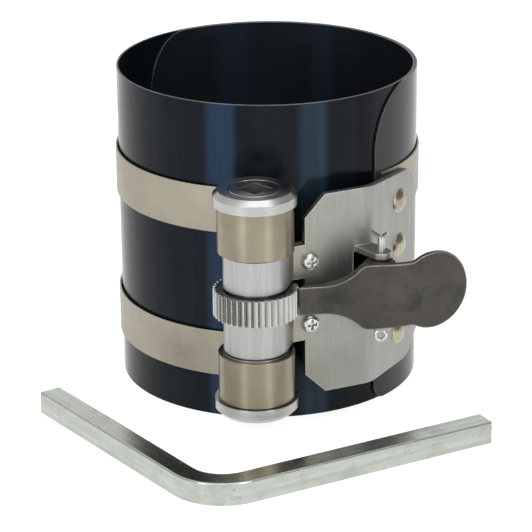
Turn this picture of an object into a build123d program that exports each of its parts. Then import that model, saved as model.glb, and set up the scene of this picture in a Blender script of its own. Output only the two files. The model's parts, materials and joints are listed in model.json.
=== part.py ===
from build123d import *
from math import acos, atan2, cos, degrees, hypot, radians, sin, sqrt
import os

# Piston ring compressor, in millimetres.
# The sleeve's axis is the Z axis, its lower rim stands on Z = 0, and -Y is the side of the ratchet.
# Angles are counter-clockwise seen from above, from +X.

os.makedirs("parts", exist_ok=True)

# Sleeve: one sheet rolled about one and a half times
sleeve_diameter = 83.0
sleeve_height = 88.9
sheet = 0.5
lap_gap = 0.15
outer_end_angle = -46.0
inner_end_angle = 145.0
crossover_angle = 132.0
crossover_steps = 16
end_corner_width = 14.0
end_corner_height = 18.0
foot_corner_radius = 4.0

# Bands round the sleeve
band_width = 12.7
band_sheet = 0.45
band_seat = 0.2
band_offset = 20.6
band_end_angle = -43.5
mechanism_height = 39.2

# Mounting plate, with its rolled tongues and bent ears
plate_sheet = 1.6
plate_angle = -65.0
plate_out = 0.2
plate_bend_radius = 7.0
plate_contact_angle = -30.0
plate_end_angle = -24.3
plate_height = 56.2
plate_drop = 1.3
plate_top_fall = 1.6
plate_left = 14.0
left_corner_width = 6.0
left_corner_height = 5.9
upper_end_radius = 5.5
lower_end_radius = 7.0
tongue_width = 9.3
tongue_knee = 10.0
tongue_bend_radius = 1.6
tail_gap = 0.1
tail_end = 20.0

# Spindle
spindle_bearing = -93.7
spindle_gap = 0.73
journal_radius = 6.95
running_gap = 0.05
seat_gap = 0.01
end_float = 0.25
wheel_float = 0.55
coil_float = 0.4
hub_radius = 8.9
coil_turns = 2
coil_gap = 0.05
coil_running_gap = 0.15
coil_tab = 1.3
flange_radius = 11.1
flange_thickness = 3.9
flange_bevel = 1.3
spool_pin_radius = 1.0
spool_pin_inset = 3.0
socket_square = 6.6
socket_depth = 12.0

# Ratchet wheel
wheel_radius = 11.3
wheel_width = 7.3
wheel_teeth = 40
tooth_depth = 0.8
steep_flank = 1.0
tip_lead = 0.4

# Release lever, its ears and its pin
lever_bearing = 0.0
pivot_along = 33.1
pivot_out = 7.8
ear_half_gap = 9.25
ear_tip_radius = 2.7
ear_left = 28.6
ear_width = 5.4
window_clearance = 0.3
pin_radius = 1.0
pin_fit = 0.05
lever_sheet = 1.8
lever_half_height = 9.0
lever_flange_depth = 3.6
lug_radius = 3.0
lug_length = 8.0
neck_half_height = 3.85
neck_length = 6.6
neck_hollow_radius = 13.0
neck_crest_radius = 4.0
waist_half_height = 8.6
waist_fillet = 2.0
face_stand = 5.5
bend_start = 1.2
pad_radius = 10.5
pad_angle = 27.0
pad_bend_radius = 28.0
pad_tip = 23.1
nose_reach = 23.5
nose_clearance = 0.25
nose_tip_width = 0.2
nose_taper = 1.6

# Fasteners
screw_along = 15.3
screw_radius = 1.45
screw_head_radius = 2.4
screw_head_height = 1.7
cross_width = 0.8
cross_length = 2.9
cross_depth = 1.0
nut_width = 5.0
nut_height = 2.2
screw_end = 0.6
rivet_back = 5.0
rivet_spacing = 12.75
rivet_radius = 1.6
rivet_head_radius = 3.5
rivet_head_height = 1.4
rivet_crown_angle = 20.0
rivet_length = 5.0
hole_fit = 0.05

# Split pin
eye_radius = 1.4
eye_wire = 0.5
eye_gap = 0.3
leg_gap = 0.06
leg_straight = 3.4
leg_spread = 28.0
front_leg = 4.2
rear_leg = 2.6

# Lever spring
spring_wire = 0.7
spring_radius = 1.85
spring_turns = 5
spring_pitch = 0.85
spring_start_angle = -91.0
spring_pad_leg = 6.5
spring_rest_inset = 1.8

# Loose key
key_square = 6.35
key_edge = 0.5
key_bend_radius = 12.5
key_corner = (-15.8, -97.3)
short_leg_angle = 125.5
short_leg = 76.2
long_leg_angle = 28.9
long_leg = 83.6

# Derived radii of the wrap, counted outwards from the sleeve's axis
sleeve_radius = sleeve_diameter / 2
lap_pitch = sheet + lap_gap
sheet_line_radius = sleeve_radius - sheet / 2
lap_radius = sleeve_radius - sheet - lap_gap / 2
band_line_radius = sleeve_radius + band_seat + band_sheet / 2
plate_inner_radius = band_line_radius + band_sheet / 2 + band_seat
plate_outer_radius = plate_inner_radius + plate_sheet
plate_line_radius = plate_inner_radius + plate_sheet / 2

# The wheel just clears the sleeve; the plate's flat part is laid out from the spindle's axis
spindle_distance = sleeve_radius + spindle_gap + wheel_radius
spindle_axis = Vector(cos(radians(spindle_bearing)), sin(radians(spindle_bearing)), 0) * spindle_distance
plate_normal = Vector(cos(radians(plate_angle)), sin(radians(plate_angle)), 0)
plate_tangent = Vector(-sin(radians(plate_angle)), cos(radians(plate_angle)), 0)
pivot_axis = spindle_axis + plate_normal * pivot_out + plate_tangent * pivot_along
sleeve_centre = Vector(-spindle_axis.dot(plate_normal), -spindle_axis.dot(plate_tangent))
barrel_radius = journal_radius + running_gap + plate_sheet / 2

# Heights, counted from the middle of the ratchet wheel
tongue_low = wheel_width / 2 + wheel_float
tongue_high = tongue_low + tongue_width
tongue_middle = (tongue_low + tongue_high) / 2
hub_low = tongue_high + coil_float
flange_low = band_offset + band_width / 2 + end_float
spindle_end = flange_low + flange_thickness
coil_pitch = band_sheet + coil_gap
coil_start_radius = hub_radius + coil_gap + band_sheet / 2
coil_end_radius = coil_start_radius + coil_turns * coil_pitch
free_band_radius = coil_end_radius + band_sheet / 2 + coil_running_gap + band_sheet / 2

# The free band leaves the sleeve and meets the coil along their crossed tangent
tangent_swing = degrees(acos((band_line_radius + free_band_radius) / spindle_distance))
leave_angle = spindle_bearing - tangent_swing + 360
meet_angle = leave_angle - 180


def plan(height, centre=Vector(0, 0, 0), direction=Vector(1, 0, 0)):
    """Horizontal plane at a height above the wheel's middle, with its x axis along a direction."""
    origin = centre + Vector(0, 0, mechanism_height + height)
    return Plane(origin=origin, x_dir=direction, z_dir=(0, 0, 1))


def outward(angle, radius, height):
    """Plane that faces away from the sleeve's axis: x runs counter-clockwise, y runs up."""
    direction = Vector(cos(radians(angle)), sin(radians(angle)), 0)
    side = Vector(-sin(radians(angle)), cos(radians(angle)), 0)
    return Plane(origin=direction * radius + Vector(0, 0, height), x_dir=side, z_dir=direction)


def plate_front(along, height):
    """Plane on the plate's outer face at a distance along it from the spindle: x to the right, y up."""
    origin = spindle_axis + plate_normal * (plate_out + plate_sheet / 2) + plate_tangent * along
    return Plane(
        origin=origin + Vector(0, 0, mechanism_height + height), x_dir=plate_tangent, z_dir=plate_normal
    )


def spindle_plan(height):
    """Horizontal plane on the spindle's axis: x out of the plate, y along it."""
    return plan(height, spindle_axis, plate_normal)


def save(builder, name):
    """Label a finished piece and write it."""
    builder.part.label = name
    export_step(builder.part, f"parts/{name}.step")


def wrap_line(shift):
    """The rolled sheet's line, moved outwards by a shift: an arc, an eased crossover and an inner arc."""
    radius = sheet_line_radius + shift
    lap_start = crossover_angle + 180
    outer = CenterArc((0, 0), radius, outer_end_angle, crossover_angle - outer_end_angle)
    inner = CenterArc((0, 0), radius - lap_pitch, lap_start, inner_end_angle + 360 - lap_start)
    points = []
    for step in range(1, crossover_steps):
        share = step / crossover_steps
        eased = radius - lap_pitch * share**2 * (3 - 2 * share)
        angle = radians(crossover_angle + 180 * share)
        points.append((eased * cos(angle), eased * sin(angle)))
    Spline(outer @ 1, *points, inner @ 0, tangents=(outer % 1, inner % 0), tangent_scalars=(1, 1))
    return outer @ 0, inner @ 1


def end_cutter(angle, hand, layer):
    """Tool that rounds the two corners at an end of the sheet, in its own layer only."""
    with BuildPart() as cutter:
        with BuildSketch(outward(angle, sleeve_radius - foot_corner_radius, 0)):
            with Locations((hand * end_corner_width / 2 - hand, sleeve_height - end_corner_height / 2 + 1)):
                Rectangle(end_corner_width + 2, end_corner_height + 2)
            with Locations((hand * end_corner_width, sleeve_height - end_corner_height)):
                Ellipse(end_corner_width, end_corner_height, mode=Mode.SUBTRACT)
                with Locations((0, 0)):
                    Rectangle(2 * end_corner_width, 2, mode=Mode.SUBTRACT)
            with Locations((hand * foot_corner_radius / 2 - hand, foot_corner_radius / 2 - 1)):
                Rectangle(foot_corner_radius + 2, foot_corner_radius + 2)
            with Locations((hand * foot_corner_radius, foot_corner_radius)):
                Circle(foot_corner_radius, mode=Mode.SUBTRACT)
        extrude(amount=2 * foot_corner_radius)
        Cylinder(lap_radius, 3 * sleeve_height, mode=layer)
    return cutter.part


def rivet_heights(rows):
    """Heights of rivets above the wheel's middle, from their place in the vertical row."""
    return [rivet_spacing * (row - 1.5) - plate_drop for row in rows]


def rivet_plane(height):
    """Plane at the plate's outer face on its straight slope, square to a rivet's axis."""
    return outward(plate_contact_angle, plate_outer_radius, mechanism_height + height)


def rivet_holes(rows, inner_radius):
    """Tool for the holes of some rivets, outside a radius only."""
    with BuildPart() as cutter:
        for height in rivet_heights(rows):
            with BuildSketch(rivet_plane(height)):
                with Locations((-rivet_back, 0)):
                    Circle(rivet_radius + hole_fit)
            extrude(amount=-rivet_length)
        Cylinder(inner_radius, 3 * sleeve_height, mode=Mode.SUBTRACT)
    return cutter.part


# Sleeve
inner_rivet_rows = (1, 2)
all_rivet_rows = (0, 1, 2, 3)

with BuildPart() as sleeve:
    with BuildSketch():
        with BuildLine():
            outside = wrap_line(sheet / 2)
            inside = wrap_line(-sheet / 2)
            Line(outside[0], inside[0])
            Line(outside[1], inside[1])
        make_face()
    extrude(amount=sleeve_height)
    add(end_cutter(outer_end_angle, 1, Mode.SUBTRACT), mode=Mode.SUBTRACT)
    add(end_cutter(inner_end_angle, -1, Mode.INTERSECT), mode=Mode.SUBTRACT)
    add(rivet_holes(all_rivet_rows, lap_radius), mode=Mode.SUBTRACT)
save(sleeve, "sleeve")


def make_band(side):
    """A band from its riveted end round the sleeve to the coil: side is +1 above, -1 below."""
    leave = (cos(radians(leave_angle)), sin(radians(leave_angle)))
    meet = (cos(radians(meet_angle)), sin(radians(meet_angle)))
    with BuildPart() as band:
        with BuildSketch(plan(side * band_offset)):
            with BuildLine():
                ends = []
                for shift in (band_sheet / 2, -band_sheet / 2):
                    radius = band_line_radius + shift
                    arc = CenterArc((0, 0), radius, band_end_angle, leave_angle - band_end_angle)
                    coil_radius = free_band_radius - shift
                    tip = (
                        spindle_axis.X + coil_radius * meet[0],
                        spindle_axis.Y + coil_radius * meet[1],
                    )
                    Line((radius * leave[0], radius * leave[1]), tip)
                    ends.append((arc @ 0, tip))
                Line(ends[0][0], ends[1][0])
                Line(ends[0][1], ends[1][1])
            make_face()
        extrude(amount=band_width / 2, both=True)
        rows = (3,) if side > 0 else (0,)
        add(rivet_holes(rows, sleeve_radius), mode=Mode.SUBTRACT)
    return band


save(make_band(1), "upper_band")
save(make_band(-1), "lower_band")


def make_coil(side):
    """The wound end of a band: half-turn arcs that step inwards, and a bent tab in the hub's slot."""
    tab_direction = Vector(cos(radians(meet_angle)), sin(radians(meet_angle)), 0)
    with BuildPart() as coil:
        with BuildSketch(plan(side * band_offset, spindle_axis)):
            with BuildLine():
                ends = []
                for shift in (band_sheet / 2, -band_sheet / 2):
                    arcs = []
                    for half in range(2 * coil_turns):
                        radius = coil_end_radius - (half + 0.5) * coil_pitch / 2 + shift
                        offset_sign = 1 if half % 2 == 0 else -1
                        centre = tab_direction * (offset_sign * coil_pitch / 4)
                        start = meet_angle - 180 * half
                        arcs.append(CenterArc((centre.X, centre.Y), radius, start, -180))
                    ends.append((arcs[0] @ 0, arcs[-1] @ 1))
                Line(ends[0][0], ends[1][0])
                Line(ends[0][1], ends[1][1])
            make_face()
            tab_centre = tab_direction * (coil_start_radius - coil_tab / 2)
            with Locations(Location((tab_centre.X, tab_centre.Y), meet_angle)):
                Rectangle(coil_tab + band_sheet / 2, band_sheet)
        extrude(amount=band_width / 2, both=True)
    return coil


save(make_coil(1), "upper_band_coil")
save(make_coil(-1), "lower_band_coil")

# Spindle shaft, with the square socket's corners along X and Y
with BuildPart() as spindle_shaft:
    with BuildSketch(plan(-spindle_end, spindle_axis)):
        Circle(journal_radius)
    extrude(amount=2 * spindle_end)
    chamfer(spindle_shaft.edges().filter_by(GeomType.CIRCLE), flange_bevel / 4)
    with BuildSketch(plan(spindle_end, spindle_axis)):
        Rectangle(socket_square, socket_square, rotation=45)
    extrude(amount=-socket_depth, mode=Mode.SUBTRACT)
    for side in (1, -1):
        with BuildSketch(
            Plane(
                origin=spindle_axis + Vector(0, 0, mechanism_height + side * (hub_low + spool_pin_inset)),
                x_dir=(0, 0, 1),
                z_dir=(1, 0, 0),
            )
        ):
            Circle(spool_pin_radius + seat_gap)
        extrude(amount=flange_radius, both=True, mode=Mode.SUBTRACT)
save(spindle_shaft, "spindle_shaft")


def make_spool(side):
    """Flanged hub on an end of the shaft, with a slot for the band's bent tab."""
    flange_edge = flange_radius - flange_bevel
    with BuildPart() as spool:
        half_section = Plane(
            origin=spindle_axis + Vector(0, 0, mechanism_height), x_dir=(1, 0, 0), z_dir=(0, -1, 0)
        )
        with BuildSketch(half_section):
            with BuildLine():
                Polyline(
                    (journal_radius + seat_gap, side * hub_low),
                    (hub_radius, side * hub_low),
                    (hub_radius, side * flange_low),
                    (flange_radius, side * flange_low),
                    (flange_radius, side * (spindle_end - flange_bevel)),
                    (flange_edge, side * spindle_end),
                    (journal_radius + seat_gap, side * spindle_end),
                    close=True,
                )
            make_face()
        revolve(axis=Axis(spindle_axis, (0, 0, 1)))
        tab_direction = Vector(cos(radians(meet_angle)), sin(radians(meet_angle)), 0)
        slot_centre = tab_direction * hub_radius
        with BuildSketch(plan(side * flange_low, spindle_axis)):
            with Locations(Location((slot_centre.X, slot_centre.Y), meet_angle)):
                Rectangle(2 * (coil_tab + coil_gap), band_sheet + 4 * coil_gap)
        extrude(amount=-side * (flange_low - hub_low), mode=Mode.SUBTRACT)
        pin_height = mechanism_height + side * (hub_low + spool_pin_inset)
        with BuildSketch(
            Plane(origin=spindle_axis + Vector(0, 0, pin_height), x_dir=(0, 0, 1), z_dir=(1, 0, 0))
        ):
            Circle(spool_pin_radius + seat_gap)
        extrude(amount=flange_radius, both=True, mode=Mode.SUBTRACT)
    return spool


save(make_spool(1), "upper_spool")
save(make_spool(-1), "lower_spool")


def make_spool_pin(side):
    """Cross pin that locks a spool on the shaft, under the coil."""
    pin_height = mechanism_height + side * (hub_low + spool_pin_inset)
    with BuildPart() as pin:
        with BuildSketch(
            Plane(origin=spindle_axis + Vector(0, 0, pin_height), x_dir=(0, 0, 1), z_dir=(1, 0, 0))
        ):
            Circle(spool_pin_radius)
        extrude(amount=hub_radius - 2 * coil_gap, both=True)
    return pin


save(make_spool_pin(1), "upper_spool_pin")
save(make_spool_pin(-1), "lower_spool_pin")

# The lever's own axes: origin on the pivot, x from the wheel's side to the pad, y towards the sleeve
lever_direction = Vector(cos(radians(lever_bearing)), sin(radians(lever_bearing)), 0)
lever_side = Vector(-lever_direction.Y, lever_direction.X, 0)
wheel_centre = spindle_axis - pivot_axis
wheel_x = wheel_centre.dot(lever_direction)
wheel_y = wheel_centre.dot(lever_side)
pivot_distance = hypot(wheel_x, wheel_y)


def nose_at(distance):
    """The nose's corner in the lever's axes, when it is at a distance from the wheel's centre."""
    swing = acos((pivot_distance**2 + nose_reach**2 - distance**2) / (2 * pivot_distance * nose_reach))
    bearing = atan2(wheel_y, wheel_x) + swing
    return Vector(nose_reach * cos(bearing), nose_reach * sin(bearing))


# The nose rests just clear of the teeth; the tooth behind it is placed where the nose drops in
nose_point = nose_at(wheel_radius + nose_clearance)
entry_point = nose_at(wheel_radius)
entry = lever_direction * entry_point.X + lever_side * entry_point.Y - wheel_centre
first_tip = degrees(atan2(entry.Y, entry.X)) - tip_lead

# Ratchet wheel: the steep flanks face counter-clockwise and jam on the nose, so the bands can't unwind
tooth_pitch = 360 / wheel_teeth
with BuildPart() as ratchet_wheel:
    with BuildSketch(plan(-wheel_width / 2, spindle_axis)):
        with BuildLine():
            outline = []
            for tooth in range(wheel_teeth):
                tip = first_tip + tooth * tooth_pitch
                for radius, angle in ((wheel_radius, tip), (wheel_radius - tooth_depth, tip + steep_flank)):
                    outline.append((radius * cos(radians(angle)), radius * sin(radians(angle))))
            Polyline(*outline, close=True)
        make_face()
        Circle(journal_radius + seat_gap, mode=Mode.SUBTRACT)
    extrude(amount=wheel_width)
save(ratchet_wheel, "ratchet_wheel")

# Mounting plate: flat on the left, bent, straight to the sleeve's tangent, then curved round the sleeve
window_left = ear_left - window_clearance
window_width = ear_width + 2 * window_clearance
contact = radians(plate_contact_angle - plate_angle)
slope_length = (plate_out - sleeve_centre.X - plate_line_radius * cos(contact)) / sin(contact)
plate_knee = sleeve_centre.Y + plate_line_radius * sin(contact) - slope_length * cos(contact)

with BuildPart() as mounting_plate:
    with BuildSketch(spindle_plan(-plate_drop)):
        with BuildLine():
            end_sweep = plate_end_angle - plate_contact_angle
            curve = CenterArc(sleeve_centre, plate_line_radius, degrees(contact), end_sweep)
            corners = ((plate_out, plate_left), (plate_out, plate_knee), curve @ 0)
            FilletPolyline(*corners, radius=plate_bend_radius)
        trace(line_width=plate_sheet)
    extrude(amount=plate_height / 2, both=True)
    # the top edge falls from the bend to the end, whose two corners are rounded
    fall_end = sleeve_centre.Y + plate_outer_radius * sin(radians(plate_end_angle - plate_angle))
    with BuildSketch(plate_front(0, -plate_drop)):
        with BuildLine():
            Polyline(
                (plate_knee, plate_height / 2),
                (fall_end, plate_height / 2 - plate_top_fall),
                (fall_end + plate_sheet, plate_height / 2 - plate_top_fall),
                (fall_end + plate_sheet, plate_height / 2 + plate_sheet),
                (plate_knee, plate_height / 2 + plate_sheet),
                close=True,
            )
        make_face()
    extrude(amount=plate_outer_radius, both=True, mode=Mode.SUBTRACT)
    halves = ((0, mechanism_height, lower_end_radius), (mechanism_height, sleeve_height, upper_end_radius))
    for low, high, radius in halves:
        across = mounting_plate.edges().filter_by(GeomType.LINE).filter_by(Axis.Z, reverse=True)
        across = across.filter_by_position(Axis.Z, low, high)
        fillet(across.sort_by(Axis(spindle_axis, plate_tangent))[-1], radius)
    # corners cut off the left edge
    with BuildSketch(plate_front(0, -plate_drop)):
        for side in (1, -1):
            with BuildLine():
                Polyline(
                    (plate_left - 1, side * (plate_height / 2 - left_corner_height)),
                    (plate_left, side * (plate_height / 2 - left_corner_height)),
                    (plate_left + left_corner_width, side * plate_height / 2),
                    (plate_left + left_corner_width, side * (plate_height / 2 + 1)),
                    (plate_left - 1, side * (plate_height / 2 + 1)),
                    close=True,
                )
            make_face()
    extrude(amount=2 * plate_sheet, both=True, mode=Mode.SUBTRACT)
    # window that the ears are bent out of
    with BuildSketch(plate_front(window_left + window_width / 2, 0)):
        RectangleRounded(window_width, 2 * ear_half_gap, window_clearance)
    extrude(amount=2 * plate_sheet, both=True, mode=Mode.SUBTRACT)
    # rolled tongues: from a knee round the spindle, back to a knee, and on behind the plate
    tail_out = plate_out - plate_sheet - tail_gap
    front_swing = degrees(acos(barrel_radius / hypot(plate_out, tongue_knee)))
    back_swing = degrees(acos(barrel_radius / hypot(tail_out, tongue_knee)))
    barrel_start = degrees(atan2(tongue_knee, plate_out)) - front_swing
    barrel_stop = degrees(atan2(tongue_knee, tail_out)) + back_swing
    for side in (1, -1):
        with BuildSketch(spindle_plan(side * tongue_middle)):
            with BuildLine():
                barrel = CenterArc((0, 0), barrel_radius, barrel_start, barrel_stop - barrel_start - 360)
                strip_root = (plate_out, plate_left + plate_sheet)
                FilletPolyline(strip_root, (plate_out, tongue_knee), barrel @ 0, radius=tongue_bend_radius)
                tail_tip = (tail_out, tail_end)
                FilletPolyline(barrel @ 1, (tail_out, tongue_knee), tail_tip, radius=tongue_bend_radius)
            trace(line_width=plate_sheet)
        extrude(amount=tongue_width / 2, both=True)
    # ears for the lever's pin
    for side in (1, -1):
        with BuildSketch(spindle_plan(side * (ear_half_gap + plate_sheet / 2))):
            with BuildLine():
                CenterArc((pivot_out, pivot_along), ear_tip_radius, 0, 360)
                Line((plate_out, ear_left), (plate_out, ear_left + ear_width))
            make_hull()
            with Locations((pivot_out, pivot_along)):
                Circle(pin_radius + pin_fit, mode=Mode.SUBTRACT)
        extrude(amount=plate_sheet / 2, both=True)
    # screw and rivet holes
    for side in (1, -1):
        with BuildSketch(plate_front(screw_along, side * tongue_middle)):
            Circle(screw_radius + hole_fit)
        extrude(amount=-4 * plate_sheet, mode=Mode.SUBTRACT)
    add(rivet_holes(all_rivet_rows, sleeve_radius), mode=Mode.SUBTRACT)
save(mounting_plate, "mounting_plate")


def make_screw(side):
    """Pan head screw with a cross recess."""
    with BuildPart() as screw:
        with BuildSketch(plate_front(screw_along, side * tongue_middle)):
            Circle(screw_head_radius)
        extrude(amount=screw_head_height)
        rim = screw.edges().filter_by(GeomType.CIRCLE).sort_by(Axis(spindle_axis, plate_normal))[-1]
        fillet(rim, screw_head_height * 0.6)
        crown = plate_front(screw_along, side * tongue_middle).offset(screw_head_height)
        with BuildSketch(crown):
            Rectangle(cross_length, cross_width)
            Rectangle(cross_width, cross_length)
        extrude(amount=-cross_depth, taper=12, mode=Mode.SUBTRACT)
        with BuildSketch(plate_front(screw_along, side * tongue_middle)):
            Circle(screw_radius)
        extrude(amount=-(2 * plate_sheet + tail_gap + nut_height + screw_end))
    return screw


save(make_screw(1), "upper_clamp_screw")
save(make_screw(-1), "lower_clamp_screw")


def make_nut(side):
    """Hexagon nut behind the tongue's tail."""
    nut_face = plate_front(screw_along, side * tongue_middle).offset(-(2 * plate_sheet + tail_gap))
    with BuildPart() as nut:
        with BuildSketch(nut_face):
            RegularPolygon(nut_width / 2, 6, major_radius=False)
            Circle(screw_radius + seat_gap, mode=Mode.SUBTRACT)
        extrude(amount=-nut_height)
    return nut


save(make_nut(1), "upper_clamp_nut")
save(make_nut(-1), "lower_clamp_nut")


def make_rivets(rows):
    """Domed rivets whose tails end flush inside the sleeve's outer layer."""
    head_sphere = (rivet_head_radius**2 + rivet_head_height**2) / (2 * rivet_head_height)
    crown = radians(rivet_crown_angle)
    crown_drop = head_sphere * (1 - cos(crown))
    with BuildPart() as rivets:
        for height in rivet_heights(rows):
            seat = rivet_plane(height)
            with BuildSketch(seat):
                with Locations((-rivet_back, 0)):
                    Circle(rivet_radius)
            extrude(amount=-rivet_length)
            axis_point = seat.origin - seat.x_dir * rivet_back
            with BuildSketch(Plane(origin=axis_point, x_dir=seat.y_dir, z_dir=seat.x_dir)):
                with BuildLine():
                    ThreePointArc(
                        (rivet_head_radius, 0),
                        (head_sphere * sin(crown), rivet_head_height - crown_drop),
                        (0, rivet_head_height),
                    )
                    Polyline((0, rivet_head_height), (0, 0), (rivet_head_radius, 0))
                make_face()
            revolve(axis=Axis(axis_point, seat.z_dir))
        Cylinder(lap_radius, 3 * sleeve_height, mode=Mode.SUBTRACT)
    return rivets


save(make_rivets((3,)), "upper_band_rivet")
save(make_rivets((0,)), "lower_band_rivet")
save(make_rivets(inner_rivet_rows), "plate_rivets")


# Release lever
def lever_plan(height):
    """Horizontal plane on the lever's axes."""
    return plan(height, pivot_axis, lever_direction)


lever_front = Plane(
    origin=pivot_axis + Vector(0, 0, mechanism_height), x_dir=lever_direction, z_dir=lever_side * -1
)
pad_squash = cos(radians(pad_angle))
pad_centre = pad_tip - pad_radius * pad_squash

# The neck's outer face runs straight from the nose's corner; the sheet's middle lies half a sheet inside
face_end = Vector(bend_start, -face_stand)
neck_vector = (face_end - nose_point).normalized()
neck_bearing = degrees(atan2(neck_vector.Y, neck_vector.X))
neck_normal = Vector(-neck_vector.Y, neck_vector.X)
neck_start = nose_point + neck_normal * (lever_sheet / 2) + neck_vector * nose_taper
neck_end = face_end + neck_normal * (lever_sheet / 2)
rise_radius = neck_hollow_radius + neck_crest_radius
rise_angle = degrees(acos(1 - (lever_half_height - neck_half_height) / rise_radius))


def neck_outline():
    """The lever from its nose to its waist, seen from the front."""
    nose_x = nose_point.X - 1
    with BuildLine() as top:
        Line((nose_x, 0), (nose_x, neck_half_height))
        level = Line((nose_x, neck_half_height), (nose_point.X + neck_length, neck_half_height))
        hollow = JernArc(level @ 1, (1, 0), neck_hollow_radius, rise_angle)
        crest = JernArc(hollow @ 1, hollow % 1, neck_crest_radius, -rise_angle)
        Polyline(crest @ 1, (pad_centre, waist_half_height), (pad_centre, 0))
        mirror(top.line, about=Plane.XZ)
    make_face(top.edges())


with BuildPart() as channel:
    # two flanges folded back along the edges, with a lug round the pin on each
    with BuildSketch(lever_plan(0)):
        flange_start = neck_start + neck_vector * lever_flange_depth
        flange_stop = neck_end + neck_vector * lug_radius
        flange_back = neck_normal * (lever_flange_depth - lever_sheet / 2)
        with BuildLine():
            Polyline(
                flange_start,
                flange_stop,
                flange_stop + flange_back,
                flange_start + neck_vector * lever_flange_depth + flange_back,
                close=True,
            )
        make_face()
        with BuildSketch(mode=Mode.PRIVATE) as lug:
            with BuildLine():
                CenterArc((0, 0), lug_radius, 0, 360)
                Line(neck_end - neck_vector * lug_length, flange_stop)
            make_hull()
        add(lug.sketch)
    extrude(amount=pad_radius, both=True)
    with BuildSketch(lever_front):
        neck_outline()
        offset(amount=-lever_sheet, mode=Mode.SUBTRACT)
    extrude(amount=pad_tip, both=True, mode=Mode.INTERSECT)

with BuildPart() as release_lever:
    with BuildSketch(lever_plan(0)):
        with BuildLine() as face_line:
            Line(neck_start, neck_end)
            bend = JernArc(neck_end, neck_vector, pad_bend_radius, pad_angle - neck_bearing)
            pad_vector = Vector(cos(radians(pad_angle)), sin(radians(pad_angle)))
            Line(bend @ 1, bend @ 1 + pad_vector * 2 * pad_radius)
        trace(line_width=lever_sheet)
        with BuildLine():
            Polyline(
                neck_start + neck_normal * (lever_sheet / 2),
                neck_start - neck_normal * (lever_sheet / 2),
                nose_point,
                nose_point + neck_normal * nose_tip_width,
                close=True,
            )
        make_face()
    extrude(amount=pad_radius + 1, both=True)
    with BuildSketch(lever_front) as outline:
        neck_outline()
        with Locations((pad_centre, 0)):
            Ellipse(pad_radius * pad_squash, pad_radius)
        waist = outline.vertices().filter_by(lambda v: abs(abs(v.Y) - waist_half_height) < waist_fillet / 8)
        fillet([v for v in waist if v.X > lug_radius], waist_fillet)
    extrude(amount=pad_tip, both=True, mode=Mode.INTERSECT)
    add(channel.part)
    with BuildSketch(lever_plan(0)):
        Circle(pin_radius + pin_fit)
    extrude(amount=pad_radius + 1, both=True, mode=Mode.SUBTRACT)
save(release_lever, "release_lever")

# Split pin: a half-round wire folded double, with its eye below and its legs spread above
ear_top = ear_half_gap + plate_sheet
eye_height = mechanism_height - (ear_top + eye_gap + eye_wire + eye_radius)
with BuildPart() as pivot_pin:
    for side, leg_length in ((-1, front_leg), (1, rear_leg)):
        with BuildSketch(Plane(origin=pivot_axis + Vector(0, 0, eye_height + eye_radius))):
            Circle(pin_radius)
            with Locations((-side * (pin_radius - leg_gap / 2), 0)):
                Rectangle(2 * pin_radius, 2 * pin_radius, mode=Mode.SUBTRACT)
        with BuildLine(Plane(origin=pivot_axis, x_dir=(1, 0, 0), z_dir=(0, -1, 0))):
            spread_height = mechanism_height + ear_top + leg_straight
            shank = Line((0, eye_height + eye_radius), (0, spread_height))
            bow = JernArc(shank @ 1, (0, 1), 2 * pin_radius, -side * leg_spread)
            leg_vector = Vector(side * sin(radians(leg_spread)), cos(radians(leg_spread)))
            Line(bow @ 1, bow @ 1 + leg_vector * leg_length)
        sweep()
    with Locations(Location(pivot_axis + Vector(0, 0, eye_height), (90, 0, 0))):
        Torus(eye_radius, eye_wire)
save(pivot_pin, "pivot_pin")

# Torsion spring round the pin: one leg presses the pad outwards, the other stands on the plate beside
# the window; that leg is the tangent from the coil to its resting point
rest_out = plate_out + (plate_sheet + spring_wire) / 2 - pivot_out
rest_along = window_left - spring_rest_inset - pivot_along
rest_point = plate_normal * rest_out + plate_tangent * rest_along
spring_plate_leg = sqrt(rest_point.length**2 - spring_radius**2)
rest_bearing = degrees(atan2(rest_point.Y, rest_point.X)) - degrees(atan2(spring_radius, spring_plate_leg))
spring_end_angle = rest_bearing + 90 - 360 - lever_bearing
spring_sweep = spring_turns + (spring_start_angle - spring_end_angle) / 360
spring_rise = spring_sweep * spring_pitch
with BuildPart() as wound_wire:
    with BuildLine() as wire_line:
        coil_foot = (0, 0, -spring_rise / 2)
        coil_line = Helix(spring_pitch, spring_rise, spring_radius, center=coil_foot, lefthand=True)
        Line(coil_line @ 0 - (coil_line % 0) * spring_pad_leg, coil_line @ 0)
        Line(coil_line @ 1, coil_line @ 1 + (coil_line % 1) * spring_plate_leg)
    with BuildSketch(Plane(origin=wire_line.wire() @ 0, z_dir=coil_line % 0)):
        Circle(spring_wire / 2)
    sweep(path=wire_line.wire())
with BuildPart() as lever_spring:
    spring_turn = spring_start_angle + lever_bearing
    with Locations(Location(pivot_axis + Vector(0, 0, mechanism_height), (0, 0, spring_turn))):
        add(wound_wire.part)
save(lever_spring, "lever_spring")

# Loose key: a square bar bent into an L, lying on the floor
with BuildPart() as square_key:
    corner = Vector(key_corner[0], key_corner[1], key_square / 2)
    short_end = corner + Vector(cos(radians(short_leg_angle)), sin(radians(short_leg_angle))) * short_leg
    long_end = corner + Vector(cos(radians(long_leg_angle)), sin(radians(long_leg_angle))) * long_leg
    with BuildLine() as key_line:
        FilletPolyline(short_end, corner, long_end, radius=key_bend_radius)
    with BuildSketch(Plane(origin=short_end, x_dir=(0, 0, 1), z_dir=corner - short_end)):
        RectangleRounded(key_square, key_square, key_edge)
    sweep()
save(square_key, "square_key")
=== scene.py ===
import json
import math

import bpy
from mathutils import Matrix, Vector


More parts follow.
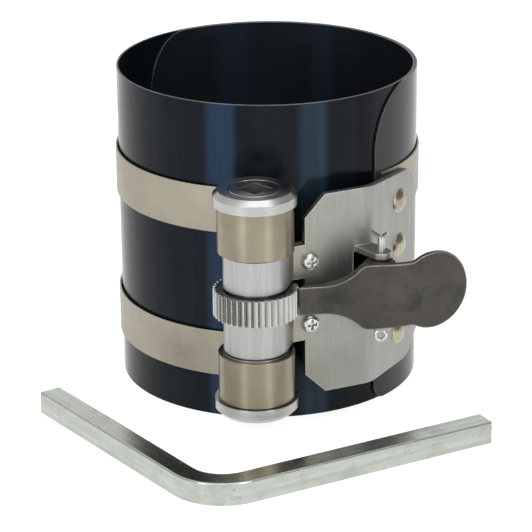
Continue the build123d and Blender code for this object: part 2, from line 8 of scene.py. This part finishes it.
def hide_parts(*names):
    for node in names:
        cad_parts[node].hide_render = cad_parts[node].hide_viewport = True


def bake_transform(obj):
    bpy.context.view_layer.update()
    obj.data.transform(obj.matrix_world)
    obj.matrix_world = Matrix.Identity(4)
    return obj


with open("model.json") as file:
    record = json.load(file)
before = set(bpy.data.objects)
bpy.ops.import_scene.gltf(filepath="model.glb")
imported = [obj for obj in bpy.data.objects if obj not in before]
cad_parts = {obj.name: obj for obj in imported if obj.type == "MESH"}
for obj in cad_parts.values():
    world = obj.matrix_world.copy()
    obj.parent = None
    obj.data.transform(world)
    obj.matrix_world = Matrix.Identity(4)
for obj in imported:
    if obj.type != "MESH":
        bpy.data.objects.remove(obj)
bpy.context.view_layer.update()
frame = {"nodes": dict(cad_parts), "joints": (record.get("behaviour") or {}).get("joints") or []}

# Lengths are in metres. The sleeve's axis is the Z axis, and its lower rim stands on the floor at Z = 0.
MM = 0.001
AXES = {joint["name"]: joint["pos_m"] for joint in frame["joints"] if joint["type"] == "hinge"}
SPINDLE_AXIS = AXES["spindle_turn"][:2]

# Places that the finishes follow
BORE_RADIUS = 40.35 * MM
LAP_RADIUS = 40.92 * MM
OUTER_END_ANGLE = math.radians(-46)
END_GREY_FULL = OUTER_END_ANGLE + 0.3
END_GREY_GONE = OUTER_END_ANGLE + 1.4
BARREL_RADIUS = 8.6 * MM
WHEEL_ROOT = 10.6 * MM
WHEEL_TIP = 11.25 * MM
KEY_CORNER = (-15.8 * MM, -97.3 * MM)
KEY_LEGS = (math.radians(28.9), math.radians(125.5))
KEY_BEND = 3 * MM

# The photograph's camera: it looks along +Y and a little down, with a slight roll
FRAME_PIXELS = 532
FOCAL_PIXELS = 2689.05
SENSOR_WIDTH = 36.0
CAMERA_ELEVATION = math.radians(20.6875)
CAMERA_ROLL = math.radians(-0.5373)
CAMERA_DISTANCE = 762.06 * MM
CAMERA_TARGET = Vector((-0.66, 0.0, 28.63)) * MM

# The stage, beside the lamps
LAMP_TARGET_HEIGHT = 45 * MM
FLOOR_REACH = 3.0
FLOOR_GLOW = 0.82
CAMERA_NEAREST = 10 * MM

# The colour sockets of the mix node, whose names are not unique
MIX_FACTOR, MIX_FIRST, MIX_SECOND, MIX_RESULT = 0, 6, 7, 2


class Graph:
    """Adds and joins the nodes of one shader tree."""

    def __init__(self, tree):
        self.tree = tree

    def node(self, kind, **settings):
        made = self.tree.nodes.new(kind)
        for name, value in settings.items():
            setattr(made, name, value)
        return made

    def feed(self, socket, value):
        """Joins a socket to another one, or sets it to a plain value."""
        if isinstance(value, bpy.types.NodeSocket):
            self.tree.links.new(value, socket)
        else:
            socket.default_value = value

    def math(self, operation, first, second=None):
        made = self.node("ShaderNodeMath", operation=operation)
        self.feed(made.inputs[0], first)
        if second is not None:
            self.feed(made.inputs[1], second)
        return made.outputs[0]

    def remap(self, value, low, high, to_low=0.0, to_high=1.0):
        """Takes low to to_low and high to to_high with eased ends; low may be the larger one."""
        made = self.node("ShaderNodeMapRange", interpolation_type="SMOOTHSTEP")
        for name, number in (("Value", value), ("From Min", low), ("From Max", high),
                             ("To Min", to_low), ("To Max", to_high)):
            self.feed(made.inputs[name], number)
        return made.outputs["Result"]

    def noise(self, vector, scale, detail=3.0, roughness=0.55):
        made = self.node("ShaderNodeTexNoise")
        for name, value in (("Vector", vector), ("Scale", scale),
                            ("Detail", detail), ("Roughness", roughness)):
            self.feed(made.inputs[name], value)
        return made.outputs["Fac"]

    def stretch(self, vector, scale):
        made = self.node("ShaderNodeVectorMath", operation="MULTIPLY")
        self.feed(made.inputs[0], vector)
        self.feed(made.inputs[1], scale)
        return made.outputs["Vector"]

    def mix(self, factor, first, second):
        made = self.node("ShaderNodeMix", data_type="RGBA")
        self.feed(made.inputs[MIX_FACTOR], factor)
        self.feed(made.inputs[MIX_FIRST], first)
        self.feed(made.inputs[MIX_SECOND], second)
        return made.outputs[MIX_RESULT]


def grey(level):
    return (level, level, level, 1.0)


def colour(red, green, blue):
    return (red, green, blue, 1.0)


# Shared effects


def make_group(name, inputs, outputs):
    """An empty shader group with its sockets: (name, kind, default) in, (name, kind) out."""
    tree = bpy.data.node_groups.new(name, "ShaderNodeTree")
    for socket_name, kind, default in inputs:
        socket = tree.interface.new_socket(socket_name, in_out="INPUT", socket_type=kind)
        socket.default_value = default
    for socket_name, kind in outputs:
        tree.interface.new_socket(socket_name, in_out="OUTPUT", socket_type=kind)
    graph = Graph(tree)
    return graph, graph.node("NodeGroupInput").outputs, graph.node("NodeGroupOutput").inputs


def make_drawn_grain():
    """Fine parallel lines left by rolling or brushing: after the turn, the stretch is small along them."""
    graph, given, out = make_group(
        "drawn grain",
        [("Stretch", "NodeSocketVector", (1.0, 1.0, 1.0)), ("Scale", "NodeSocketFloat", 900.0),
         ("Turn", "NodeSocketFloat", 0.0)],
        [("Lines", "NodeSocketFloat"), ("Clouds", "NodeSocketFloat")],
    )
    position = graph.node("ShaderNodeTexCoord").outputs["Object"]
    turned = graph.node("ShaderNodeVectorRotate", rotation_type="Z_AXIS")
    graph.feed(turned.inputs["Vector"], position)
    graph.feed(turned.inputs["Angle"], given["Turn"])
    drawn = graph.stretch(turned.outputs["Vector"], given["Stretch"])
    lines = graph.noise(drawn, given["Scale"], detail=4.0, roughness=0.6)
    graph.feed(out["Lines"], graph.remap(lines, 0.3, 0.7))
    clouds = graph.noise(position, 60.0, detail=3.0, roughness=0.6)
    graph.feed(out["Clouds"], graph.remap(clouds, 0.3, 0.7))
    return graph.tree


def make_worn_and_highlighted_edges():
    """Mask of the outer edges, broken up by noise, and the normal rounded over them; the finishes lighten
    these edges as wear and as a painted highlight.
    """
    graph, given, out = make_group(
        "worn and highlighted edges",
        [("Width", "NodeSocketFloat", 0.3 * MM), ("Breakup", "NodeSocketFloat", 0.5)],
        [("Edge", "NodeSocketFloat"), ("Normal", "NodeSocketVector")],
    )
    bevel = graph.node("ShaderNodeBevel", samples=6)
    graph.feed(bevel.inputs["Radius"], given["Width"])
    flat = graph.node("ShaderNodeNewGeometry").outputs["Normal"]
    dot = graph.node("ShaderNodeVectorMath", operation="DOT_PRODUCT")
    graph.feed(dot.inputs[0], bevel.outputs["Normal"])
    graph.feed(dot.inputs[1], flat)
    edge = graph.remap(dot.outputs["Value"], 0.99, 0.86)
    position = graph.node("ShaderNodeTexCoord").outputs["Object"]
    patches = graph.remap(graph.noise(position, 350.0), 0.35, 0.65)
    kept = graph.math("SUBTRACT", 1.0, graph.math("MULTIPLY", patches, given["Breakup"]))
    graph.feed(out["Edge"], graph.math("MULTIPLY", edge, kept))
    graph.feed(out["Normal"], bevel.outputs["Normal"])
    return graph.tree


def make_smudges():
    """Soft blotches of handling and oil, with a few small dark specks."""
    graph, given, out = make_group(
        "handling smudges",
        [("Scale", "NodeSocketFloat", 90.0), ("Specks", "NodeSocketFloat", 1200.0)],
        [("Blotch", "NodeSocketFloat"), ("Speck", "NodeSocketFloat")],
    )
    position = graph.node("ShaderNodeTexCoord").outputs["Object"]
    blotch = graph.noise(position, given["Scale"], detail=5.0, roughness=0.62)
    graph.feed(out["Blotch"], graph.remap(blotch, 0.42, 0.72))
    specks = graph.noise(position, given["Specks"], detail=2.0, roughness=0.5)
    graph.feed(out["Speck"], graph.remap(specks, 0.66, 0.74))
    return graph.tree


DRAWN_GRAIN = make_drawn_grain()
WORN_AND_HIGHLIGHTED_EDGES = make_worn_and_highlighted_edges()
SMUDGES = make_smudges()


class Finish(Graph):
    """A material with one Principled shader and the shared effects."""

    def __init__(self, name):
        self.material = bpy.data.materials.new(name)
        self.material.use_nodes = True
        super().__init__(self.material.node_tree)
        self.shader = next(n for n in self.tree.nodes if n.type == "BSDF_PRINCIPLED")

    def group(self, tree, **values):
        made = self.node("ShaderNodeGroup", node_tree=tree)
        for name, value in values.items():
            self.feed(made.inputs[name], value)
        return made.outputs

    def set(self, **values):
        """Sets or joins the shader's sockets: spaces in their names are written as underscores."""
        for name, value in values.items():
            self.feed(self.shader.inputs[name.replace("_", " ")], value)

    def relief(self, height, distance, strength, normal):
        bump = self.node("ShaderNodeBump")
        for name, value in (("Height", height), ("Distance", distance),
                            ("Strength", strength), ("Normal", normal)):
            self.feed(bump.inputs[name], value)
        return bump.outputs["Normal"]

    def ring_grain(self, amount):
        """Gloss drawn out upright, as fine marks that run round an upright cylinder do."""
        self.set(Anisotropic=amount, Anisotropic_Rotation=0.25)
        tangent = self.node("ShaderNodeTangent", direction_type="RADIAL", axis="Z")
        self.feed(self.shader.inputs["Tangent"], tangent.outputs["Tangent"])

    def place_round(self, centre):
        """Angle round an upright axis from +X, in radians, and distance from that axis."""
        split = self.node("ShaderNodeSeparateXYZ")
        self.feed(split.inputs[0], self.node("ShaderNodeTexCoord").outputs["Object"])
        across = self.math("SUBTRACT", split.outputs["X"], centre[0])
        along = self.math("SUBTRACT", split.outputs["Y"], centre[1])
        squares = self.math("ADD", self.math("POWER", across, 2.0), self.math("POWER", along, 2.0))
        return self.math("ARCTAN2", along, across), self.math("SQRT", squares)

    def angle_band(self, angle, degrees, half_width):
        """1 inside a soft band of angles round an axis, 0 outside it: both given in degrees."""
        off = self.math("ABSOLUTE", self.math("SUBTRACT", angle, math.radians(degrees)))
        edge = math.radians(half_width)
        return self.remap(off, edge * 1.35, edge * 0.55)


# Finishes


def blued_sleeve():
    """Blued spring steel: nearly black, with bluer streaks of painted reflection; the sheet's outer end is
    greyer than the rest.
    """
    finish = Finish("blued spring steel")
    angle, distance = finish.place_round((0.0, 0.0))
    outer_layer = finish.remap(distance, LAP_RADIUS, LAP_RADIUS + 0.04 * MM)
    towards_end = finish.remap(angle, OUTER_END_ANGLE - 0.01, OUTER_END_ANGLE)
    leaving_end = finish.remap(angle, END_GREY_GONE, END_GREY_FULL)
    near_end = finish.math("MULTIPLY", finish.math("MULTIPLY", towards_end, leaving_end), outer_layer)
    in_bore = finish.remap(distance, BORE_RADIUS + 0.2 * MM, BORE_RADIUS + 0.1 * MM)
    grain = finish.group(DRAWN_GRAIN, Stretch=(1.0, 1.0, 0.03), Scale=700.0)
    smudge = finish.group(SMUDGES, Scale=45.0)
    # Edges lightened as wear and as a painted highlight
    edge = finish.group(WORN_AND_HIGHLIGHTED_EDGES, Width=0.26 * MM, Breakup=0.3)

    outside = finish.mix(smudge["Blotch"], colour(0.006, 0.009, 0.013), colour(0.010, 0.014, 0.020))
    inside = finish.mix(smudge["Blotch"], colour(0.017, 0.021, 0.026), colour(0.022, 0.028, 0.034))
    dark = finish.mix(in_bore, outside, inside)
    # Painted shade: a near-black band just past the outer sheet's end, beside the lap edge
    painted_shade_place, painted_shade_width = -50.5, 4.5
    painted_shade = finish.math("MULTIPLY", finish.angle_band(angle, painted_shade_place, painted_shade_width), 0.8)
    sheet = finish.mix(painted_shade, dark, colour(0.003, 0.004, 0.005))

    # Painted reflections as bluer streaks: full on the outside in front, faint in the bore and behind
    painted_reflection_strength = finish.remap(grain["Lines"], 0.0, 1.0, 0.62, 0.85)
    front = finish.math("MULTIPLY", painted_reflection_strength, finish.remap(in_bore, 0.0, 1.0, 1.0, 0.35))
    back = finish.math("MULTIPLY", painted_reflection_strength, 0.55)
    for place, width, strength, blue in (
        (-107.7, 5.6, front, colour(0.026, 0.055, 0.112)),
        (-72.5, 5.4, front, colour(0.029, 0.054, 0.082)),
        (103.9, 7.0, back, colour(0.026, 0.038, 0.072)),
        (66.3, 4.8, back, colour(0.028, 0.048, 0.076)),
    ):
        share = finish.math("MULTIPLY", finish.angle_band(angle, place, width), strength)
        sheet = finish.mix(share, sheet, blue)

    greyed = finish.mix(finish.math("MULTIPLY", near_end, 0.9), sheet, colour(0.062, 0.064, 0.065))
    streaked = finish.mix(finish.math("MULTIPLY", grain["Lines"], 0.18), greyed, colour(0.024, 0.031, 0.042))
    finish.set(
        Base_Color=finish.mix(edge["Edge"], streaked, colour(0.24, 0.24, 0.24)),
        Metallic=0.3,
        Specular_IOR_Level=0.13,
        Roughness=finish.remap(smudge["Blotch"], 0.0, 1.0, 0.15, 0.23),
        Normal=finish.relief(grain["Lines"], 0.01 * MM, 0.2, edge["Normal"]),
    )
    return finish.material


def band_steel(name, tint, roughness, ring_grain=0.0):
    """Rolled strip with a warm cast and faint lines along its length; ring_grain draws its gloss out."""
    finish = Finish(name)
    grain = finish.group(DRAWN_GRAIN, Stretch=(0.05, 0.05, 1.0), Scale=1500.0)
    smudge = finish.group(SMUDGES, Scale=70.0)
    # Edges lightened as wear and as a painted highlight
    edge = finish.group(WORN_AND_HIGHLIGHTED_EDGES, Width=0.18 * MM, Breakup=0.3)
    dull = colour(*(part * 0.84 for part in tint))
    bright = colour(*(part * 1.22 for part in tint))
    base = finish.mix(grain["Clouds"], dull, colour(*tint))
    lined = finish.mix(finish.math("MULTIPLY", grain["Lines"], 0.25), base, bright)
    worn = finish.mix(finish.math("MULTIPLY", smudge["Blotch"], 0.7), lined, dull)
    finish.set(
        Base_Color=finish.mix(edge["Edge"], worn, bright),
        Metallic=1.0,
        Roughness=finish.remap(grain["Lines"], 0.0, 1.0, roughness, roughness + 0.1),
        Normal=finish.relief(grain["Lines"], 0.01 * MM, 0.4, edge["Normal"]),
    )
    if ring_grain:
        finish.ring_grain(ring_grain)
    return finish.material


def plate_steel():
    """Zinc plated sheet with a drawn grain, brighter where it is rolled and warmer on the tongues."""
    finish = Finish("plated sheet steel")
    distance = finish.place_round(SPINDLE_AXIS)[1]
    rolled = finish.remap(distance, BARREL_RADIUS + 0.8 * MM, BARREL_RADIUS)
    tongue = finish.remap(distance, BARREL_RADIUS + 11 * MM, BARREL_RADIUS + 2 * MM)
    grain = finish.group(DRAWN_GRAIN, Stretch=(1.0, 1.0, 0.06), Scale=1100.0)
    smudge = finish.group(SMUDGES, Scale=60.0)
    # Edges lightened as wear and as a painted highlight
    edge = finish.group(WORN_AND_HIGHLIGHTED_EDGES, Width=0.35 * MM, Breakup=0.25)
    base = finish.mix(grain["Clouds"], colour(0.320, 0.321, 0.308), colour(0.385, 0.386, 0.372))
    bloom = finish.mix(smudge["Blotch"], base, colour(0.31, 0.30, 0.265))
    warm = finish.mix(finish.math("MULTIPLY", tongue, 0.75), bloom, colour(0.34, 0.325, 0.262))
    bright = finish.mix(rolled, warm, colour(0.455, 0.456, 0.445))
    lined = finish.mix(finish.math("MULTIPLY", grain["Lines"], 0.28), bright, colour(0.27, 0.27, 0.255))
    finish.set(
        Base_Color=finish.mix(edge["Edge"], lined, colour(0.72, 0.72, 0.70)),
        Metallic=1.0,
        Roughness=finish.remap(grain["Lines"], 0.0, 1.0, 0.39, 0.44),
        Normal=finish.relief(grain["Lines"], 0.01 * MM, 0.2, edge["Normal"]),
    )
    return finish.material


def bright_zinc(name="bright zinc", tint=colour(0.62, 0.62, 0.60), roughness=0.24):
    """Bright plated steel with a fine, slightly uneven skin."""
    finish = Finish(name)
    smudge = finish.group(SMUDGES, Scale=220.0)
    # Edges lightened as wear and as a painted highlight
    edge = finish.group(WORN_AND_HIGHLIGHTED_EDGES, Width=0.2 * MM, Breakup=0.3)
    shade = tuple(part * 0.78 for part in tint[:3]) + (1.0,)
    base = finish.mix(smudge["Blotch"], tint, shade)
    finish.set(
        Base_Color=finish.mix(edge["Edge"], base, colour(*(min(1.0, part * 1.3) for part in tint[:3]))),
        Metallic=1.0,
        Roughness=finish.remap(smudge["Blotch"], 0.0, 1.0, roughness, roughness + 0.12),
        Normal=edge["Normal"],
    )
    return finish.material


def toothed_steel():
    """Plated wheel: bright tooth crests over roots darkened as painted shade."""
    finish = Finish("toothed wheel steel")
    distance = finish.place_round(SPINDLE_AXIS)[1]
    smudge = finish.group(SMUDGES, Scale=260.0)
    # Edges lightened as wear and as a painted highlight
    edge = finish.group(WORN_AND_HIGHLIGHTED_EDGES, Width=0.12 * MM, Breakup=0.3)
    # Painted shade: the tooth roots are darker than the crests
    crest_above_root_shade = finish.remap(distance, WHEEL_ROOT, WHEEL_TIP)
    base = finish.mix(crest_above_root_shade, colour(0.24, 0.24, 0.23), colour(0.52, 0.52, 0.505))
    toned = finish.mix(finish.math("MULTIPLY", smudge["Blotch"], 0.35), base, colour(0.27, 0.265, 0.25))
    finish.set(
        Base_Color=finish.mix(edge["Edge"], toned, colour(0.78, 0.78, 0.76)),
        Metallic=1.0,
        Roughness=finish.remap(smudge["Blotch"], 0.0, 1.0, 0.26, 0.36),
        Normal=edge["Normal"],
    )
    return finish.material


def turned_steel():
    """Lathe-turned and plated steel: faint rings round the spindle's axis."""
    finish = Finish("turned steel")
    grain = finish.group(DRAWN_GRAIN, Stretch=(0.02, 0.02, 1.0), Scale=2600.0)
    smudge = finish.group(SMUDGES, Scale=160.0)
    # Edges lightened as wear and as a painted highlight
    edge = finish.group(WORN_AND_HIGHLIGHTED_EDGES, Width=0.18 * MM, Breakup=0.4)
    base = finish.mix(grain["Lines"], colour(0.43, 0.43, 0.42), colour(0.52, 0.52, 0.51))
    toned = finish.mix(finish.math("MULTIPLY", smudge["Blotch"], 0.5), base, colour(0.36, 0.355, 0.34))
    finish.set(
        Base_Color=finish.mix(edge["Edge"], toned, colour(0.58, 0.58, 0.57)),
        Metallic=1.0,
        Roughness=finish.remap(grain["Lines"], 0.0, 1.0, 0.28, 0.38),
        Normal=finish.relief(grain["Lines"], 0.01 * MM, 0.4, edge["Normal"]),
    )
    finish.ring_grain(0.6)
    return finish.material


def dark_lever():
    """Dark warm grey steel with thumb marks; its edges are lightened as rubbed wear and as a painted
    highlight.
    """
    finish = Finish("dark pressed steel")
    grain = finish.group(DRAWN_GRAIN, Stretch=(0.3, 1.0, 1.0), Scale=600.0)
    smudge = finish.group(SMUDGES, Scale=120.0)
    # Edges lightened as wear and as a painted highlight
    edge = finish.group(WORN_AND_HIGHLIGHTED_EDGES, Width=0.7 * MM, Breakup=0.35)
    base = finish.mix(grain["Clouds"], colour(0.064, 0.059, 0.051), colour(0.086, 0.080, 0.070))
    marked = finish.mix(smudge["Blotch"], base, colour(0.047, 0.044, 0.040))
    finish.set(
        Base_Color=finish.mix(finish.math("MULTIPLY", edge["Edge"], 0.8), marked, colour(0.42, 0.40, 0.37)),
        Metallic=0.85,
        Roughness=finish.remap(smudge["Blotch"], 0.0, 1.0, 0.38, 0.52),
        Normal=finish.relief(grain["Lines"], 0.02 * MM, 0.3, edge["Normal"]),
    )
    return finish.material


def key_zinc():
    """Drawn square bar, zinc plated: pale greenish grey with draw lines along each of its two legs."""
    finish = Finish("plated square bar")
    split = finish.node("ShaderNodeSeparateXYZ")
    finish.feed(split.inputs[0], finish.node("ShaderNodeTexCoord").outputs["Object"])
    first_side = sum(KEY_LEGS) / 2 - math.radians(90)
    from_corner = [finish.math("SUBTRACT", split.outputs[axis], KEY_CORNER[axis]) for axis in (0, 1)]
    across = finish.math("MULTIPLY", from_corner[0], math.cos(first_side))
    along = finish.math("MULTIPLY", from_corner[1], math.sin(first_side))
    on_first = finish.remap(finish.math("ADD", across, along), -KEY_BEND, KEY_BEND)
    first, second = (
        finish.group(DRAWN_GRAIN, Stretch=(0.03, 1.0, 1.0), Scale=1000.0, Turn=-leg) for leg in KEY_LEGS
    )
    lines = finish.mix(on_first, second["Lines"], first["Lines"])
    smudge = finish.group(SMUDGES, Scale=130.0)
    # Edges lightened as wear and as a painted highlight
    edge = finish.group(WORN_AND_HIGHLIGHTED_EDGES, Width=0.5 * MM, Breakup=0.3)
    base = finish.mix(smudge["Blotch"], colour(0.50, 0.525, 0.485), colour(0.40, 0.425, 0.385))
    lined = finish.mix(finish.math("MULTIPLY", lines, 0.55), base, colour(0.34, 0.36, 0.325))
    specked = finish.mix(finish.math("MULTIPLY", smudge["Speck"], 0.5), lined, colour(0.16, 0.165, 0.15))
    finish.set(
        Base_Color=finish.mix(edge["Edge"], specked, colour(0.80, 0.82, 0.78)),
        Metallic=1.0,
        Roughness=finish.remap(smudge["Blotch"], 0.0, 1.0, 0.20, 0.34),
        Normal=finish.relief(lines, 0.03 * MM, 0.4, edge["Normal"]),
    )
    return finish.material


ZINC = bright_zinc()
RIVET = bright_zinc("straw passivated rivet", colour(0.44, 0.41, 0.30), 0.26)
TURNED = turned_steel()
BAND = band_steel("rolled band steel", (0.362, 0.333, 0.270), 0.36)
COIL = band_steel("wound band steel", (0.312, 0.277, 0.207), 0.30, ring_grain=0.8)
FINISHES = {
    "sleeve": blued_sleeve(),
    "mounting_plate": plate_steel(),
    "release_lever": dark_lever(),
    "square_key": key_zinc(),
    "lever_spring": bright_zinc("spring wire", colour(0.40, 0.40, 0.39), 0.35),
    "ratchet_wheel": toothed_steel(),
    "pivot_pin": ZINC,
    "plate_rivets": RIVET,
    "spindle_shaft": TURNED,
}
for place in ("upper", "lower"):
    FINISHES[f"{place}_band"] = BAND
    FINISHES[f"{place}_band_coil"] = COIL
    FINISHES[f"{place}_band_rivet"] = RIVET
    FINISHES[f"{place}_spool"] = TURNED
    FINISHES[f"{place}_spool_pin"] = TURNED
    FINISHES[f"{place}_clamp_screw"] = ZINC
    FINISHES[f"{place}_clamp_nut"] = ZINC

for node, piece in frame["nodes"].items():
    piece.data.materials.clear()
    piece.data.materials.append(FINISHES[node])


def make_twisting_spring():
    """The lever's torsion spring: a copy of its mesh stands in for the hidden original."""
    rest = frame["nodes"]["lever_spring"]
    spring = bpy.data.objects.new("twisting_spring", rest.data.copy())
    bpy.context.scene.collection.objects.link(spring)
    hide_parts("lever_spring")
    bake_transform(spring)


make_twisting_spring()


# Stage: a pale floor, a white surround and soft lamps


def background_light(graph):
    """1 for what the camera, or a reflection, sees straight; 0 for light that falls on the object."""
    path = graph.node("ShaderNodeLightPath").outputs
    seen = graph.math("MAXIMUM", path["Is Camera Ray"], path["Is Glossy Ray"])
    return graph.math("MAXIMUM", seen, path["Is Transmission Ray"])


def make_floor():
    reach = FLOOR_REACH
    mesh = bpy.data.meshes.new("floor")
    corners = [(-reach, -reach, 0), (reach, -reach, 0), (reach, reach, 0), (-reach, reach, 0)]
    mesh.from_pydata(corners, [], [(0, 1, 2, 3)])
    floor = bpy.data.objects.new("floor", mesh)
    bpy.context.scene.collection.objects.link(floor)
    finish = Finish("pale floor")
    glow = finish.math("MULTIPLY", background_light(finish), FLOOR_GLOW)
    finish.set(Base_Color=grey(0.5), Roughness=0.9, Specular_IOR_Level=0.0)
    finish.set(Emission_Color=grey(1.0), Emission_Strength=glow)
    mesh.materials.append(finish.material)


def make_world():
    """White to the camera; metal mirrors it with a darker flag to each side; a soft surround lights."""
    world = bpy.data.worlds.new("soft surround")
    world.use_nodes = True
    bpy.context.scene.world = world
    graph = Graph(world.node_tree)
    background = next(n for n in world.node_tree.nodes if n.type == "BACKGROUND")
    graph.feed(background.inputs["Color"], grey(1.0))
    split = graph.node("ShaderNodeSeparateXYZ")
    graph.feed(split.inputs[0], graph.node("ShaderNodeTexCoord").outputs["Generated"])
    sideways = graph.math("ABSOLUTE", split.outputs["X"])
    surround = graph.remap(sideways, 0.55, 0.95, 0.55, 0.25)
    left_flag = graph.remap(split.outputs["X"], -0.50, -0.90, 1.0, 0.55)
    right_flag = graph.remap(split.outputs["X"], 0.40, 0.85, 1.0, 0.22)
    seen = background_light(graph)
    mirrored = graph.math("MULTIPLY", seen, graph.math("MULTIPLY", left_flag, right_flag))
    lighting = graph.math("MULTIPLY", surround, graph.math("SUBTRACT", 1.0, seen))
    camera = graph.node("ShaderNodeLightPath").outputs["Is Camera Ray"]
    strength = graph.math("MAXIMUM", camera, graph.math("ADD", mirrored, lighting))
    graph.feed(background.inputs["Strength"], strength)


def make_lamp(name, azimuth, elevation, distance, width, height, power):
    """A soft box that faces the object: azimuth 0 is the camera's side, and positive is to its right."""
    azimuth, elevation = math.radians(azimuth), math.radians(elevation)
    light = bpy.data.lights.new(name, "AREA")
    light.shape = "RECTANGLE"
    light.size = width
    light.size_y = height
    light.energy = power
    lamp = bpy.data.objects.new(name, light)
    bpy.context.scene.collection.objects.link(lamp)
    direction = Vector((
        math.sin(azimuth) * math.cos(elevation),
        -math.cos(azimuth) * math.cos(elevation),
        math.sin(elevation),
    ))
    target = Vector((0, 0, LAMP_TARGET_HEIGHT))
    lamp.location = target + direction * distance
    lamp.rotation_euler = (-direction).to_track_quat("-Z", "Y").to_euler()


def make_camera():
    camera_data = bpy.data.cameras.new("photograph camera")
    camera_data.sensor_width = SENSOR_WIDTH
    camera_data.lens = FOCAL_PIXELS / FRAME_PIXELS * SENSOR_WIDTH
    camera_data.clip_start = CAMERA_NEAREST
    camera = bpy.data.objects.new("photograph camera", camera_data)
    bpy.context.scene.collection.objects.link(camera)
    look = Vector((0, math.cos(CAMERA_ELEVATION), -math.sin(CAMERA_ELEVATION)))
    side = Vector((1, 0, 0))
    up = side.cross(look)
    right = math.cos(CAMERA_ROLL) * side + math.sin(CAMERA_ROLL) * up
    top = right.cross(look)
    turn = Matrix((right, top, -look)).transposed()
    camera.matrix_world = Matrix.Translation(CAMERA_TARGET - look * CAMERA_DISTANCE) @ turn.to_4x4()
    bpy.context.scene.camera = camera


make_floor()
make_world()
make_lamp("left soft box", azimuth=-35, elevation=12, distance=1.0, width=0.30, height=1.2, power=3.0)
make_lamp("right soft box", azimuth=37, elevation=12, distance=1.0, width=0.30, height=1.2, power=3.0)
make_lamp("top soft box", azimuth=20, elevation=75, distance=1.1, width=0.9, height=0.9, power=3.5)
make_camera()
bpy.context.scene.view_settings.view_transform = "Standard"
